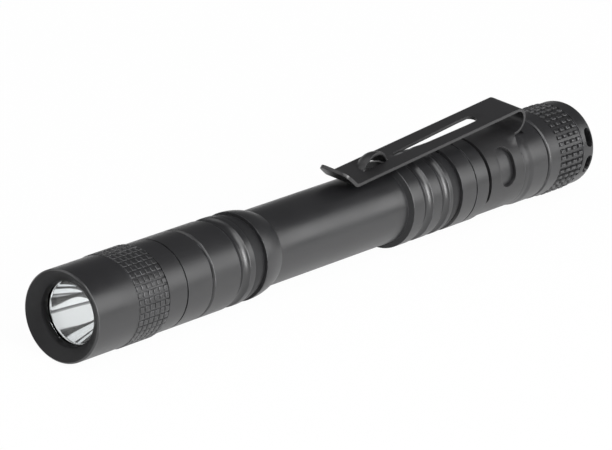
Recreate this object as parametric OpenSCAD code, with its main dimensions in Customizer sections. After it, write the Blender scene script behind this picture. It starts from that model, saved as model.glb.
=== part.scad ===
// Penlight for two AAA cells, with a pocket clip and a push button in the tail.
// Every piece is drawn on its own axis, measured backwards from the front rim,
// and then laid along X: the beam leaves along +X and the clip points straight up.

/* [Head] */
// Rise of the head's smooth front above its plain rings
head_rise = 0.13; // [0:0.01:0.4]
// Length of the smooth front of the head
head_smooth_len = 9.9; // [8:0.1:14]
// Rise of the studs above the head's smooth front
head_stud_rise = 0.17; // [0.02:0.01:0.25]
// Length of the studded head grip
head_knurl_len = 7.1; // [5:0.1:10]
// Length of the first plain ring
head_ring1_len = 4.5; // [3:0.1:7]
// Length of the second plain ring, up to the seam
head_ring2_len = 6.7; // [6.2:0.1:9]
// Width of the step between the dished bezel and the light window
bezel_step = 0.3; // [0.2:0.05:0.9]
// Depth of the dished bezel
bezel_dish_depth = 1.5; // [0.5:0.1:1.7]
// Width of the rim that covers the edge of the lens
window_rim = 0.7; // [0.5:0.05:1]
// Depth of the light window below the rim
window_depth = 2.25; // [1.8:0.05:3]

/* [Knurls] */
// Rows of studs along the head grip
head_knurl_rows = 6; // [3:1:8]
// Studs around the head grip, an even number
head_knurl_count = 42; // [30:2:48]
// Rows of studs along the tail grip
tail_knurl_rows = 4; // [2:1:5]
// Studs around the tail grip, an even number
tail_knurl_count = 38; // [28:2:44]
// Depth of the cuts that run around the grips
knurl_depth = 0.3; // [0.15:0.01:0.35]
// Depth of the cuts that run along the grips
knurl_slot_depth = 0.36; // [0.2:0.01:0.42]
// Width of the cuts between studs
knurl_gap = 0.34; // [0.2:0.01:0.5]

/* [Light engine] */
// Thickness of the flat seal in front of the lens
lens_seal_t = 0.45; // [0.3:0.05:0.8]
// Thickness of the lens
lens_t = 1.2; // [0.8:0.1:2]
// Step between the lens and the wider pill behind it
lens_step = 0.2; // [0.1:0.05:0.4]
// Width of the reflector's flat front rim
reflector_rim_w = 0.65; // [0.5:0.05:0.9]
// Depth of the reflector bowl from its rim to its vertex
bowl_depth = 8.2; // [7.6:0.1:9.2]
// Part of the bowl that is cut away behind the emitter
bowl_cut = 0.6; // [0.5:0.05:0.8]
// Diameter of the reflector's rear face
reflector_rear_d = 9; // [7:0.1:10]
// Diameter of the hole for the emitter
emitter_hole_d = 3.4; // [3:0.1:4]
// Side of the emitter's square base
emitter_side = 3.45; // [2.8:0.05:3.6]
// Diameter of the emitter's dome
emitter_dome_d = 2.4; // [1.8:0.1:2.7]
// Height of the emitter's base
emitter_base_h = 0.7; // [0.5:0.05:0.75]
// Clearance between the emitter's base and the reflector
emitter_gap = 0.1; // [0.05:0.05:0.3]
// Thickness of the emitter board
led_board_t = 1; // [0.8:0.1:1.6]
// Room around the emitter board
led_board_gap = 0.75; // [0.2:0.05:1.2]
// Step between the heat-sink pill and the barrel's neck
pill_step = 0.5; // [0.4:0.05:0.8]
// Width of the pill's rim around the driver board
pill_rim = 0.7; // [0.5:0.05:0.9]
// Width of the ledge that the driver board sits on
driver_ledge = 0.65; // [0.4:0.05:0.9]
// Thickness of the pill's closed front
pill_face_t = 2; // [1.2:0.1:3]
// Thickness of the driver board
driver_t = 1; // [0.8:0.1:1.4]

/* [Cells] */
// Diameter of one AAA cell
cell_d = 10.5; // [10:0.1:10.6]
// Length of one AAA cell over its button
cell_len = 44.5; // [43:0.1:46]
// Height of the cell's button
cell_button_h = 0.8; // [0.5:0.1:1.4]
// Diameter of the cell's button
cell_button_d = 3.8; // [3:0.1:5.5]
// Length of the contact spring in front of the cells
front_spring_len = 3.9; // [3:0.1:6]
// Length of the contact spring behind the cells
tail_spring_len = 4.6; // [3.6:0.1:7]

/* [Barrel] */
// Room around the cells in the bore
cell_room = 0.2; // [0.15:0.05:0.4]
// Wall of the threaded necks
neck_wall = 1; // [0.95:0.05:1.2]
// Length of the front neck inside the head
front_neck_len = 6.7; // [6:0.1:8]
// Length of the rear neck inside the tail cap
tail_neck_len = 5.35; // [5:0.05:7]
// Thickness of the round seals in the necks
seal_d = 0.65; // [0.5:0.05:0.7]
// Pitch of both threads
thread_pitch = 0.75; // [0.5:0.05:1]
// Depth of both threads
thread_depth = 0.3; // [0.2:0.02:0.4]
// Wall of the barrel's rings
ring_wall = 1.9; // [1.8:0.05:2.4]
// Wall of the middle tube
tube_wall = 0.95; // [0.8:0.05:1.3]
// Length of the ring behind the front seam
front_ring_len = 6.6; // [4:0.1:9]
// Width of the hollow behind that ring
front_cove_w = 2.5; // [1.5:0.1:3.5]
// Length of the bead behind the hollow
bead_len = 1; // [0.6:0.1:3]
// Length over which the bead falls away to the wall of the front shoulder
bead_fall_len = 3.3; // [2:0.1:4.5]
// Length of the rounded front shoulder
front_shoulder_len = 5; // [3:0.1:9]
// Length of the steep rear shoulder
rear_shoulder_len = 0.5; // [0.2:0.1:3]
// Depth of the hollows and grooves of the grip
groove_depth = 0.6; // [0.2:0.05:0.7]
// Length of the first grip ring, behind the rear shoulder
grip_ring1_len = 2.9; // [2:0.1:4]
// Width of the first grip hollow
grip_cove1_w = 2.4; // [1.6:0.1:3]
// Length of the second grip ring
grip_ring2_len = 2.5; // [1.6:0.1:3.6]
// Width of the second grip hollow
grip_cove2_w = 2.2; // [1.6:0.1:3]
// Length of the third grip ring
grip_ring3_len = 0.6; // [0.4:0.1:2]
// Length over which that ring falls away to the wall of the next
grip_fall_len = 3; // [2:0.1:4.5]
// Length of the ring in front of the fine line
grip_ring4_len = 3.9; // [2.4:0.1:5]
// Length of the ring in front of the clip track
grip_ring5_len = 3.6; // [2.4:0.1:5]
// Length of the rise behind the clip track, half of it level with the clip's band
tail_rise_len = 2.3; // [1.6:0.1:3.2]
// Length of the last ring, up to the tail seam
tail_ring_len = 4.5; // [3:0.1:6]
// Width of the fine turned lines
line_w = 0.35; // [0.2:0.05:0.5]
// Depth of the fine turned lines
line_depth = 0.25; // [0.15:0.05:0.4]

/* [Clip] */
// Thickness of the clip's sheet steel
clip_t = 0.57; // [0.4:0.01:0.7]
// Width of the clip's arm
clip_w = 6.3; // [5:0.1:7]
// Length of the band that grips the barrel
clip_band_len = 10.8; // [9:0.1:12]
// Depth of the band's face below the barrel's rings
clip_band_sink = 0.25; // [0.1:0.05:0.4]
// Angle of the band's open side
clip_band_gap = 60; // [40:1:90]
// Width of the notch along the band's front edge
notch_w = 1.05; // [0.6:0.05:1.5]
// Angle of each end of that notch from the arm
notch_angle = 109; // [90:1:125]
// Width of the window in each side of the band
band_window_w = 4.2; // [3:0.1:5]
// Angle of the window's near end from the arm
band_window_start = 34; // [30:1:40]
// Angle of the window's far end from the arm
band_window_end = 93; // [84:1:100]
// Outer radius of the bend at the rear of the clip
bend_r = 2.4; // [1.8:0.1:2.8]
// Length of the arm from the bend to the crease
arm_len = 44; // [36:0.5:48]
// Gap under the crease, where cloth is pinched
crease_gap = 0.5; // [0.3:0.05:1]
// Radius of the crease, along the middle of the sheet
crease_r = 1.5; // [0.8:0.1:3]
// Length of the flared tip
flare_len = 3.5; // [3:0.1:10]
// Radius of the tip's corners
tip_corner_r = 1.7; // [0.5:0.1:2.4]
// Angle of the flared tip to the barrel
flare_angle = 37; // [10:1:45]
// Distance from the slot to the crease
arm_slot_front = 12.9; // [11:0.1:20]
// Width of the slot in the arm, at its rear end
arm_slot_w = 2.3; // [1.2:0.1:3]
// Width of the slot in the arm, at its front end
arm_slot_tip_w = 1.1; // [0.6:0.1:1.2]
// Distance from the bend's centre to the slot
arm_slot_back = 8.4; // [6:0.1:12]
// Radius of the pressed hood's foot
hood_r = 3.1; // [2:0.1:3.2]
// Height of the pressed hood
hood_h = 2.4; // [1.2:0.1:2.8]
// Distance from the crease to the middle of the hood
hood_back = 7.4; // [5:0.1:10]
// Distance of the hood's open mouth from the middle of the arm
hood_mouth = 0.7; // [0:0.1:1.2]

/* [Tail] */
// Rise of the tail cap above the barrel's rings
cap_rise = 0.1; // [0:0.05:0.5]
// Rise of the studs above the tail cap
cap_stud_rise = 0.2; // [0.02:0.01:0.25]
// Length of the plain ring behind the tail seam
cap_ring_len = 3.6; // [2.4:0.1:5]
// Length of the studded tail grip
cap_knurl_len = 6.5; // [5:0.1:8]
// Length of the plain tail ring
cap_end_len = 3.7; // [3:0.1:5]
// Radius of the tail's rounded edge
cap_edge_r = 0.9; // [0.4:0.1:1]
// Thickness of the inner lip that holds the boot
lip_t = 1; // [0.7:0.1:1.2]
// Width of the lip
lip_w = 1.4; // [1:0.1:1.6]
// Wall of the skirt around the button
skirt_wall = 1.9; // [1.6:0.05:2.4]
// Width of the two cord holes
cord_hole_w = 1.6; // [1.2:0.1:2]
// Length of each cord hole around the skirt
cord_hole_len = 3.2; // [2.4:0.1:4]
// Angle of the first cord hole from the clip
cord_hole_angle = 62.7; // [50:1:80]
// Angle from the first cord hole to the second
cord_hole_step = 38.3; // [34:1:50]
// Rim left behind the cord holes
cord_hole_rim = 0.7; // [0.5:0.1:1]

/* [Switch] */
// Step between the switch housing and the wider board in front of it
switch_step = 0.5; // [0.3:0.05:0.8]
// Length of the switch housing in front of its flange
switch_len = 6.3; // [5.6:0.1:8]
// Thickness of the housing's flange
switch_flange_t = 1; // [0.8:0.1:1.4]
// Thickness of the switch board
switch_board_t = 0.8; // [0.6:0.1:1.2]
// Room around the switch board in the bore
switch_board_gap = 0.55; // [0.2:0.05:0.8]
// Thickness of the threaded retaining ring
ring_t = 1.2; // [0.9:0.1:1.6]
// Wall of the switch housing around the plunger
switch_wall = 1.6; // [1.3:0.1:2]
// Step between the plunger and its post
plunger_step = 0.6; // [0.4:0.05:1.2]
// Depth of the housing's bore for the plunger
plunger_bore_len = 5; // [4.2:0.1:5.4]
// Length of the plunger below its post
plunger_len = 1.8; // [1.4:0.1:2.4]
// Length of the return spring when the button is pressed
spring_pressed_len = 1.8; // [1.7:0.1:2]
// Travel of the button
button_travel = 1.3; // [0.6:0.1:1.4]
// Thickness of the boot's clamped flange
boot_flange_t = 1; // [0.7:0.1:1.4]
// Room around the boot's dome in the lip
boot_gap = 0.25; // [0.2:0.05:0.6]
// Height of the boot from its flange to its top
boot_h = 4.3; // [3.4:0.1:4.6]
// Wall of the boot
boot_wall = 0.8; // [0.5:0.05:1]
// Rounding of the boot's top edge
boot_edge_r = 1.6; // [0.8:0.1:2.4]

/* [Hidden] */
$fn = 96;

// Clearances, edge breaks and the overrun of every cut
overrun = 1;
run_gap = 0.08;
seat_gap = 0.05;
seam_gap = 0.15;
rim_edge = 0.3;
seam_edge = 0.3;
small_edge = 0.15;
arc_steps = 6;
knurl_turn_share = 0.3;

// Diameters and radii, from the cells outwards
bore_r = cell_d / 2 + cell_room;
neck_r = bore_r + neck_wall;
ring_r = bore_r + ring_wall;
tube_r = bore_r + tube_wall;
head_r = ring_r + head_rise;
head_knurl_d = 2 * (head_r + head_stud_rise);
cap_r = ring_r + cap_rise;
cap_knurl_d = 2 * (cap_r + cap_stud_rise);
cap_bore_r = neck_r + run_gap;
pill_d = 2 * (neck_r - pill_step);
driver_d = pill_d - 2 * pill_rim;
pill_bore_d = driver_d - 2 * driver_ledge;
lens_d = pill_d - 2 * lens_step;
led_board_d = lens_d - 2 * led_board_gap;
window_d = lens_d - 2 * window_rim;
bezel_dish_d = window_d + 2 * bezel_step;
bowl_d = lens_d - 2 * reflector_rim_w;
switch_board_d = 2 * (bore_r - switch_board_gap);
switch_d = switch_board_d - 2 * switch_step;
plunger_d = switch_d - 2 * switch_wall;
plunger_post_d = plunger_d - 2 * plunger_step;
recess_d = 2 * (cap_r - skirt_wall);
lip_d = recess_d - 2 * lip_w;
boot_d = lip_d - 2 * boot_gap;
lens_bore_r = lens_d / 2 + run_gap;
pill_bay_r = pill_d / 2 + run_gap;

// Lengths that follow from others
reflector_len = bowl_depth - bowl_cut;
gasket_t = emitter_base_h + emitter_gap;
return_spring_len = spring_pressed_len + button_travel;

// Places along the axis, front to back
head_knurl_z = head_smooth_len;
head_ring1_z = head_knurl_z + head_knurl_len;
head_ring2_z = head_ring1_z + head_ring1_len;
front_seam_z = head_ring2_z + head_ring2_len;
neck_front_z = front_seam_z - front_neck_len;
lens_z = window_depth + lens_seal_t;
reflector_z = lens_z + lens_t;
gasket_z = reflector_z + reflector_len;
led_board_z = gasket_z + gasket_t;
pill_z = led_board_z + led_board_t;
cells_z = neck_front_z + front_spring_len;
cells_end_z = cells_z + 2 * cell_len;
switch_board_z = cells_end_z + tail_spring_len;
housing_z = switch_board_z + switch_board_t;
flange_z = housing_z + switch_len;
neck_end_z = flange_z - ring_t;
tail_seam_z = neck_end_z - tail_neck_len;
boot_z = flange_z + switch_flange_t;
lip_z = boot_z + boot_flange_t;
recess_z = lip_z + lip_t;
cap_knurl_z = tail_seam_z + cap_ring_len;
cap_end_z = cap_knurl_z + cap_knurl_len;
overall_len = cap_end_z + cap_end_len;
axis_h = max(cap_knurl_d, head_knurl_d) / 2;

// Places along the barrel; the middle tube takes the length that the cells leave
front_cove_z = front_seam_z + front_ring_len;
bead_z = front_cove_z + front_cove_w;
bead_fall_z = bead_z + bead_len;
front_shoulder_z = bead_fall_z + bead_fall_len;
tail_ring_z = tail_seam_z - tail_ring_len;
tail_rise_z = tail_ring_z - tail_rise_len;
track_len = clip_band_len + 2 * seat_gap;
track_z = tail_rise_z - track_len;
grip_ring5_z = track_z - grip_ring5_len;
grip_ring4_z = grip_ring5_z - grip_ring4_len;
grip_fall_z = grip_ring4_z - grip_fall_len;
grip_ring3_z = grip_fall_z - grip_ring3_len;
grip_cove2_z = grip_ring3_z - grip_cove2_w;
grip_ring2_z = grip_cove2_z - grip_ring2_len;
grip_cove1_z = grip_ring2_z - grip_cove1_w;
grip_ring1_z = grip_cove1_z - grip_ring1_len;
rear_shoulder_z = grip_ring1_z - rear_shoulder_len;

// Seals: round section and the groove that carries it
seal_squeeze = 0.03;
seal_r = neck_r - seal_d / 2 + run_gap - seal_squeeze;
seal_groove_r = seal_r - seal_d / 2 - seat_gap;
seal_groove_w = seal_d + 2 * seat_gap;
seal_setback = 0.6;
front_seal_z = front_seam_z - seal_setback - seal_groove_w / 2;
tail_seal_z = tail_seam_z + seal_setback + seal_groove_w / 2;

// Clip: the band lies in its track, the arm returns over it from the bend
band_out_r = ring_r - clip_band_sink;
band_in_r = band_out_r - clip_t;
track_r = band_in_r - seat_gap;
band_z = track_z + seat_gap;
band_end_z = band_z + clip_band_len;
foot_len = 1;
bend_h = band_in_r + bend_r;
bend_z = band_end_z + foot_len;
arm_mid_r = bend_r - clip_t / 2;
crease_h = tube_r + crease_gap + clip_t / 2;
arm_slope = acos((crease_h + crease_r - bend_h) / norm([arm_mid_r + crease_r, arm_len]))
    - atan2(arm_len, arm_mid_r + crease_r);
arm_slot_len = arm_len - arm_slot_back - arm_slot_front;
hood_sphere_r = (hood_r * hood_r + hood_h * hood_h) / (2 * hood_h);

// Small features of the light engine and of the switch
reflector_rim_t = 0.9;
wire_notch_d = 1.6;
wire_hole_d = 1.4;
choke_d = 3;
choke_h = 1.9;
chip_size = [2.6, 3, 1];
cap_size = [1.2, 0.8, 0.7];
part_spread_share = 0.22;
key_hole_d = 0.9;

// Wires of the three springs
contact_wire_d = 0.6;
return_wire_d = 0.45;
contact_turns = 3.5;
return_turns = 3.5;
contact_coil_r = 3.1;
contact_tip_r = 1.9;
return_coil_inset = 0.6;
return_coil_r = plunger_d / 2 - return_coil_inset;
coil_rings = 8;
coil_sides = 6;

// Tells how far the parabola of the bowl has opened at a distance from its vertex
bowl_focus = bowl_d * bowl_d / (16 * bowl_depth);
function bowl_r(from_vertex) = sqrt(4 * bowl_focus * from_vertex);

// A hollow of circular section, cut into a radius r from z over a width
function cove(r, z, width, depth) =
    let (
        cut_r = (width * width / 4 + depth * depth) / (2 * depth),
        half = asin(width / 2 / cut_r)
    )
    [for (i = [0 : arc_steps])
        let (a = half * (2 * i / arc_steps - 1))
        [r + cut_r - depth - cut_r * cos(a), z + width / 2 + cut_r * sin(a)]];

// A groove with square walls
function groove(r, z, width, depth) =
    [[r, z], [r - depth, z], [r - depth, z + width], [r, z + width]];

// A rounded shoulder that leaves radius r0 level and falls to r1 over a length
function shoulder(r0, r1, z, length) =
    let (
        arc_r = ((r0 - r1) * (r0 - r1) + length * length) / (2 * (r0 - r1)),
        reach = asin(length / arc_r)
    )
    [for (i = [0 : arc_steps])
        let (a = reach * i / arc_steps)
        [r0 - arc_r * (1 - cos(a)), z + arc_r * sin(a)]];

// A screw thread drawn as closed ridges of the right pitch and depth
function thread(r, z, length) =
    let (turns = floor(length / thread_pitch))
    [for (i = [0 : turns - 1])
        for (p = [[r, 0], [r - thread_depth, 1 / 2]])
            [p[0], z + (i + p[1]) * thread_pitch]];

// Rings of studs seen from the side: crests between square cuts
function knurl_rings(r, z, length, rows) =
    let (pitch = (length + knurl_gap) / rows)
    concat(
        [[r, z]],
        [for (i = [1 : rows - 1])
            for (p = groove(r, z + i * pitch - knurl_gap, knurl_gap, knurl_depth))
                p],
        [[r, z + length]]
    );

// Lays a piece that is drawn around Z, front rim at zero, along the beam
module along_beam() {
    translate([overall_len / 2, 0, axis_h]) rotate([0, -90, 0]) children();
}

// A turned piece from its half outline, given as [radius, place] points
module turned(outline) {
    rotate_extrude() polygon(outline);
}

// A plain ring or disc
module ring(r_out, r_in, z, length) {
    turned([[r_in, z], [r_out, z], [r_out, z + length], [r_in, z + length]]);
}

// The lengthwise cuts of a studded grip, which run out a little past its ends
module knurl_slots(r, z, length, count) {
    for (i = [0 : count - 1])
        rotate([0, 0, (i + knurl_turn_share) * 360 / count])
            translate([r - knurl_slot_depth, -knurl_gap / 2, z - knurl_gap / 2])
                cube([knurl_slot_depth + overrun, knurl_gap, length + knurl_gap]);
}

// A long hole with round ends, centred, its length along the second axis
function long_hole(length, width) =
    [for (end = [0, 1])
        for (i = [0 : 2 * arc_steps])
            let (a = end * 180 + 180 * i / (2 * arc_steps))
            [width / 2 * cos(a), (end == 0 ? 1 : -1) * (length - width) / 2 + width / 2 * sin(a)]];

// Cuts a long hole through a wall, at an angle around the axis, its length around the wall
module wall_hole(z, angle, length, width, r_in, r_out) {
    rotate([0, 0, angle])
        translate([r_in, 0, z])
            rotate([0, 90, 0])
                linear_extrude(r_out - r_in)
                    polygon(long_hole(length, width));
}

// A coil spring between two places on the axis, one unbroken wire
module coil(z, length, r0, r1, turns, wire_d) {
    rings = round(turns * coil_rings);
    travel = length - wire_d;
    points = [
        for (i = [0 : rings])
            let (
                share = i / rings,
                turn = share * turns * 360,
                mid_r = r0 + (r1 - r0) * share
            )
            for (k = [0 : coil_sides - 1])
                let (
                    a = k * 360 / coil_sides,
                    r = mid_r + wire_d / 2 * cos(a)
                )
                [r * cos(turn), r * sin(turn), z + wire_d / 2 + travel * share + wire_d / 2 * sin(a)]
    ];
    sides = [
        for (i = [0 : rings - 1])
            for (k = [0 : coil_sides - 1])
                let (
                    a = i * coil_sides + k,
                    b = i * coil_sides + (k + 1) % coil_sides
                )
                for (face = [[a, a + coil_sides, b], [b, a + coil_sides, b + coil_sides]])
                    face
    ];
    first_cap = [for (k = [1 : coil_sides - 2]) [0, k, k + 1]];
    last = rings * coil_sides;
    last_cap = [for (k = [1 : coil_sides - 2]) [last, last + k + 1, last + k]];
    polyhedron(points, concat(sides, first_cap, last_cap));
}

// Head: one turned tube with the dished bezel, the studded grip and two plain rings
module head_shell() {
    color("#26272a")
        along_beam()
            difference() {
                turned(concat(
                    [[bezel_dish_d / 2, bezel_dish_depth], [head_r - rim_edge, 0], [head_r, rim_edge]],
                    [[head_r, head_knurl_z]],
                    knurl_rings(head_knurl_d / 2, head_knurl_z, head_knurl_len, head_knurl_rows),
                    groove(ring_r, head_ring1_z, line_w, line_depth),
                    groove(ring_r, head_ring2_z, line_w, line_depth),
                    [
                        [ring_r, front_seam_z - seam_gap - seam_edge],
                        [ring_r - seam_edge, front_seam_z - seam_gap],
                        [cap_bore_r, front_seam_z - seam_gap],
                        [cap_bore_r, neck_front_z],
                        [pill_bay_r, neck_front_z],
                        [pill_bay_r, pill_z],
                        [lens_bore_r, pill_z],
                        [lens_bore_r, window_depth],
                        [window_d / 2, window_depth]
                    ]
                ));
                knurl_slots(head_knurl_d / 2, head_knurl_z, head_knurl_len, head_knurl_count);
            }
}

// Flat rubber seal between the bezel and the lens
module lens_seal() {
    color("#1a1a1a")
        along_beam()
            ring(lens_d / 2, window_d / 2 + seat_gap, window_depth, lens_seal_t);
}

// Clear lens with broken edges
module lens() {
    lens_r = lens_d / 2;
    color("#dfe9ee", 0.4)
        along_beam()
            turned([
                [0, lens_z], [lens_r - small_edge, lens_z], [lens_r, lens_z + small_edge],
                [lens_r, reflector_z - small_edge], [lens_r - small_edge, reflector_z],
                [0, reflector_z]
            ]);
}

// Reflector: a parabolic bowl whose focus lies on the emitter
module reflector() {
    hole_r = emitter_hole_d / 2;
    hole_depth = hole_r * hole_r / (4 * bowl_focus);
    bowl_steps = 14;
    vertex_z = reflector_z + bowl_depth;
    color("#d8dadc")
        along_beam()
            turned(concat(
                [
                    [lens_d / 2, reflector_z], [lens_d / 2, reflector_z + reflector_rim_t],
                    [lens_d / 2 - reflector_rim_t / 2, reflector_z + reflector_rim_t],
                    [reflector_rear_d / 2, gasket_z], [hole_r, gasket_z]
                ],
                [for (i = [0 : bowl_steps])
                    let (d = hole_depth + (bowl_depth - hole_depth) * i / bowl_steps)
                    [bowl_r(d), vertex_z - d]]
            ));
}

// Plastic ring that centres the emitter under the reflector
module led_gasket() {
    hole = emitter_side + 2 * seat_gap;
    color("#e8e8e4")
        along_beam()
            difference() {
                ring(reflector_rear_d / 2, 0, gasket_z, gasket_t);
                translate([-hole / 2, -hole / 2, gasket_z - overrun])
                    cube([hole, hole, gasket_t + 2 * overrun]);
            }
}

// Emitter: square ceramic base with a clear dome that faces forward
module led_emitter() {
    base_z = led_board_z - emitter_base_h;
    color("#e7d36a")
        along_beam() {
            translate([-emitter_side / 2, -emitter_side / 2, base_z])
                cube([emitter_side, emitter_side, emitter_base_h]);
            intersection() {
                translate([0, 0, base_z]) sphere(d = emitter_dome_d);
                translate([-emitter_side / 2, -emitter_side / 2, base_z - emitter_dome_d])
                    cube([emitter_side, emitter_side, emitter_dome_d]);
            }
        }
}

// Metal-core board under the emitter, with two wire notches
module led_board() {
    color("#c9cdd2")
        along_beam()
            difference() {
                ring(led_board_d / 2, 0, led_board_z, led_board_t);
                for (side = [-1, 1])
                    translate([0, side * led_board_d / 2, led_board_z - overrun])
                        cylinder(d = wire_notch_d, h = led_board_t + 2 * overrun);
            }
}

// Pill: the heat sink that carries the emitter board in front and the driver behind
module pill() {
    color("#b08d4a")
        along_beam()
            difference() {
                turned([
                    [0, pill_z], [pill_d / 2 - rim_edge, pill_z], [pill_d / 2, pill_z + rim_edge],
                    [pill_d / 2, neck_front_z], [driver_d / 2 + seat_gap, neck_front_z],
                    [driver_d / 2 + seat_gap, neck_front_z - driver_t],
                    [pill_bore_d / 2, neck_front_z - driver_t],
                    [pill_bore_d / 2, pill_z + pill_face_t], [0, pill_z + pill_face_t]
                ]);
                for (side = [-1, 1])
                    translate([0, side * (pill_bore_d / 2 - wire_hole_d), pill_z - overrun])
                        cylinder(d = wire_hole_d, h = pill_face_t + 2 * overrun);
            }
}

// Round driver board, flush with the rear of the pill
module driver_board() {
    color("#1f5c3a")
        along_beam()
            ring(driver_d / 2, 0, neck_front_z - driver_t, driver_t);
}

// Coil, chip and capacitors on the driver board, inside the pill
module driver_parts() {
    board_z = neck_front_z - driver_t;
    color("#303236")
        along_beam() {
            translate([0, driver_d * part_spread_share, board_z - choke_h])
                cylinder(d = choke_d, h = choke_h);
            translate([0, -driver_d * part_spread_share, board_z - chip_size[2]])
                translate([-chip_size[0] / 2, -chip_size[1] / 2, 0])
                    cube(chip_size);
            for (side = [-1, 1])
                translate([side * driver_d * part_spread_share - cap_size[0] / 2, 0, board_z - cap_size[2]])
                    cube(cap_size);
        }
}

// Conical spring from the driver board to the button of the front cell
module front_contact_spring() {
    color("#c8a24a")
        along_beam()
            coil(neck_front_z, front_spring_len, contact_coil_r, contact_tip_r,
                contact_turns, contact_wire_d);
}

// Round rubber seal in a groove of the barrel's neck
module neck_seal(z) {
    color("#1b1b1c")
        along_beam()
            rotate_extrude() translate([seal_r, z]) circle(d = seal_d);
}

// Seal under the head
module head_seal() {
    neck_seal(front_seal_z);
}

// Seal under the tail cap
module tail_seal() {
    neck_seal(tail_seal_z);
}

// One threaded neck of the barrel: chamfered end, thread and seal groove
function front_neck() =
    let (thread_len = front_neck_len - rim_edge - 2 * seal_setback - seal_groove_w)
    concat(
        [[neck_r - rim_edge, neck_front_z]],
        thread(neck_r, neck_front_z + rim_edge, thread_len),
        groove(neck_r, front_seal_z - seal_groove_w / 2, seal_groove_w, neck_r - seal_groove_r),
        [[neck_r, front_seam_z]]
    );

// The neck at the tail end, in the opposite order
function tail_neck() =
    let (thread_z = tail_seal_z + seal_groove_w / 2 + seal_setback)
    concat(
        [[neck_r, tail_seam_z]],
        groove(neck_r, tail_seal_z - seal_groove_w / 2, seal_groove_w, neck_r - seal_groove_r),
        thread(neck_r, thread_z, neck_end_z - rim_edge - thread_z),
        [[neck_r - rim_edge, neck_end_z]]
    );

// Barrel: one turned tube with rings, hollows, the clip's track and a neck at each end
module barrel() {
    color("#26272a")
        along_beam()
            difference() {
                turned(concat(
                    [[bore_r, neck_front_z]],
                    front_neck(),
                    [[ring_r - seam_edge, front_seam_z], [ring_r, front_seam_z + seam_edge]],
                    cove(ring_r, front_cove_z, front_cove_w, groove_depth),
                    shoulder(ring_r, ring_r - groove_depth, bead_fall_z, bead_fall_len),
                    shoulder(ring_r, tube_r, front_shoulder_z, front_shoulder_len),
                    [[tube_r, rear_shoulder_z], [ring_r, grip_ring1_z]],
                    cove(ring_r, grip_cove1_z, grip_cove1_w, groove_depth),
                    cove(ring_r, grip_cove2_z, grip_cove2_w, groove_depth),
                    shoulder(ring_r, ring_r - groove_depth, grip_fall_z, grip_fall_len),
                    [[ring_r, grip_ring4_z]],
                    groove(ring_r, grip_ring5_z, line_w, line_depth),
                    [[ring_r, track_z], [track_r, track_z], [track_r, tail_rise_z]],
                    [[band_out_r, tail_rise_z], [band_out_r, tail_rise_z + tail_rise_len / 2]],
                    [[ring_r, tail_ring_z]],
                    [[ring_r, tail_seam_z - seam_edge], [ring_r - seam_edge, tail_seam_z]],
                    tail_neck(),
                    [[bore_r, neck_end_z]]
                ));
                clip_flat();
            }
}

// Flat milled under the foot and the bend of the clip
module clip_flat() {
    flat_len = bend_z + bend_r - track_z - track_len;
    translate([track_r, -ring_r, track_z + track_len - seat_gap])
        cube([ring_r, 2 * ring_r, flat_len + seat_gap]);
}

// One AAA cell with its button towards the head
module cell(z) {
    r = cell_d / 2;
    turned([
        [0, z], [cell_button_d / 2, z], [cell_button_d / 2, z + cell_button_h],
        [r - rim_edge, z + cell_button_h], [r, z + cell_button_h + rim_edge],
        [r, z + cell_len - rim_edge], [r - rim_edge, z + cell_len], [0, z + cell_len]
    ]);
}

// Cell nearest the head
module front_cell() {
    color("#3d6fa5") along_beam() cell(cells_z);
}

// Cell nearest the tail
module rear_cell() {
    color("#3d6fa5") along_beam() cell(cells_z + cell_len);
}

// The outward direction on the clip's bend at an angle, as [height, place]
function clip_normal(a) = [sin(a), cos(a)];

// One point of the clip's centre line with the angle of its outward side
function clip_bend(a) = [[bend_h, bend_z] + arm_mid_r * clip_normal(a), a];

// A strip of the clip's sheet, drawn across its width along a centre line
module clip_strip(line, width) {
    half = clip_t / 2;
    outer = [for (p = line) p[0] + half * clip_normal(p[1])];
    inner = [for (i = [len(line) - 1 : -1 : 0]) line[i][0] - half * clip_normal(line[i][1])];
    rotate([90, 0, 0])
        translate([0, 0, -width / 2])
            linear_extrude(width)
                polygon(concat(outer, inner));
}

// Band of the clip: an open ring with a notched edge, a window in each side and the foot
module clip_band() {
    open_angle = clip_band_gap / 2;
    window_z = band_z + (clip_band_len + notch_w) / 2;
    window_angle = (band_window_start + band_window_end) / 2;
    window_len = 2 * band_out_r * sin((band_window_end - band_window_start) / 2);
    foot_start = [band_in_r + clip_t / 2, band_end_z - clip_t];
    foot_line = concat(
        [[foot_start, -90]],
        [for (i = [0 : 2 * arc_steps]) clip_bend(-90 + 90 * i / (2 * arc_steps))]
    );
    color("#1d1e20")
        along_beam() {
            difference() {
                rotate([0, 0, 180 + open_angle])
                    rotate_extrude(angle = 360 - clip_band_gap)
                        translate([band_in_r, band_z])
                            square([clip_t, clip_band_len]);
                rotate([0, 0, -notch_angle])
                    rotate_extrude(angle = 2 * notch_angle)
                        translate([band_in_r - overrun, band_z - overrun])
                            square([clip_t + 2 * overrun, notch_w + overrun]);
                for (side = [-1, 1])
                    wall_hole(window_z, side * window_angle, window_len, band_window_w,
                        track_r / 2, band_out_r + overrun);
            }
            clip_strip(foot_line, clip_w);
        }
}

// Places a shape on the arm, whose outer face then lies at bend_r from the bend's centre
module on_arm() {
    translate([bend_h, 0, bend_z]) rotate([0, arm_slope, 0]) children();
}

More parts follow.
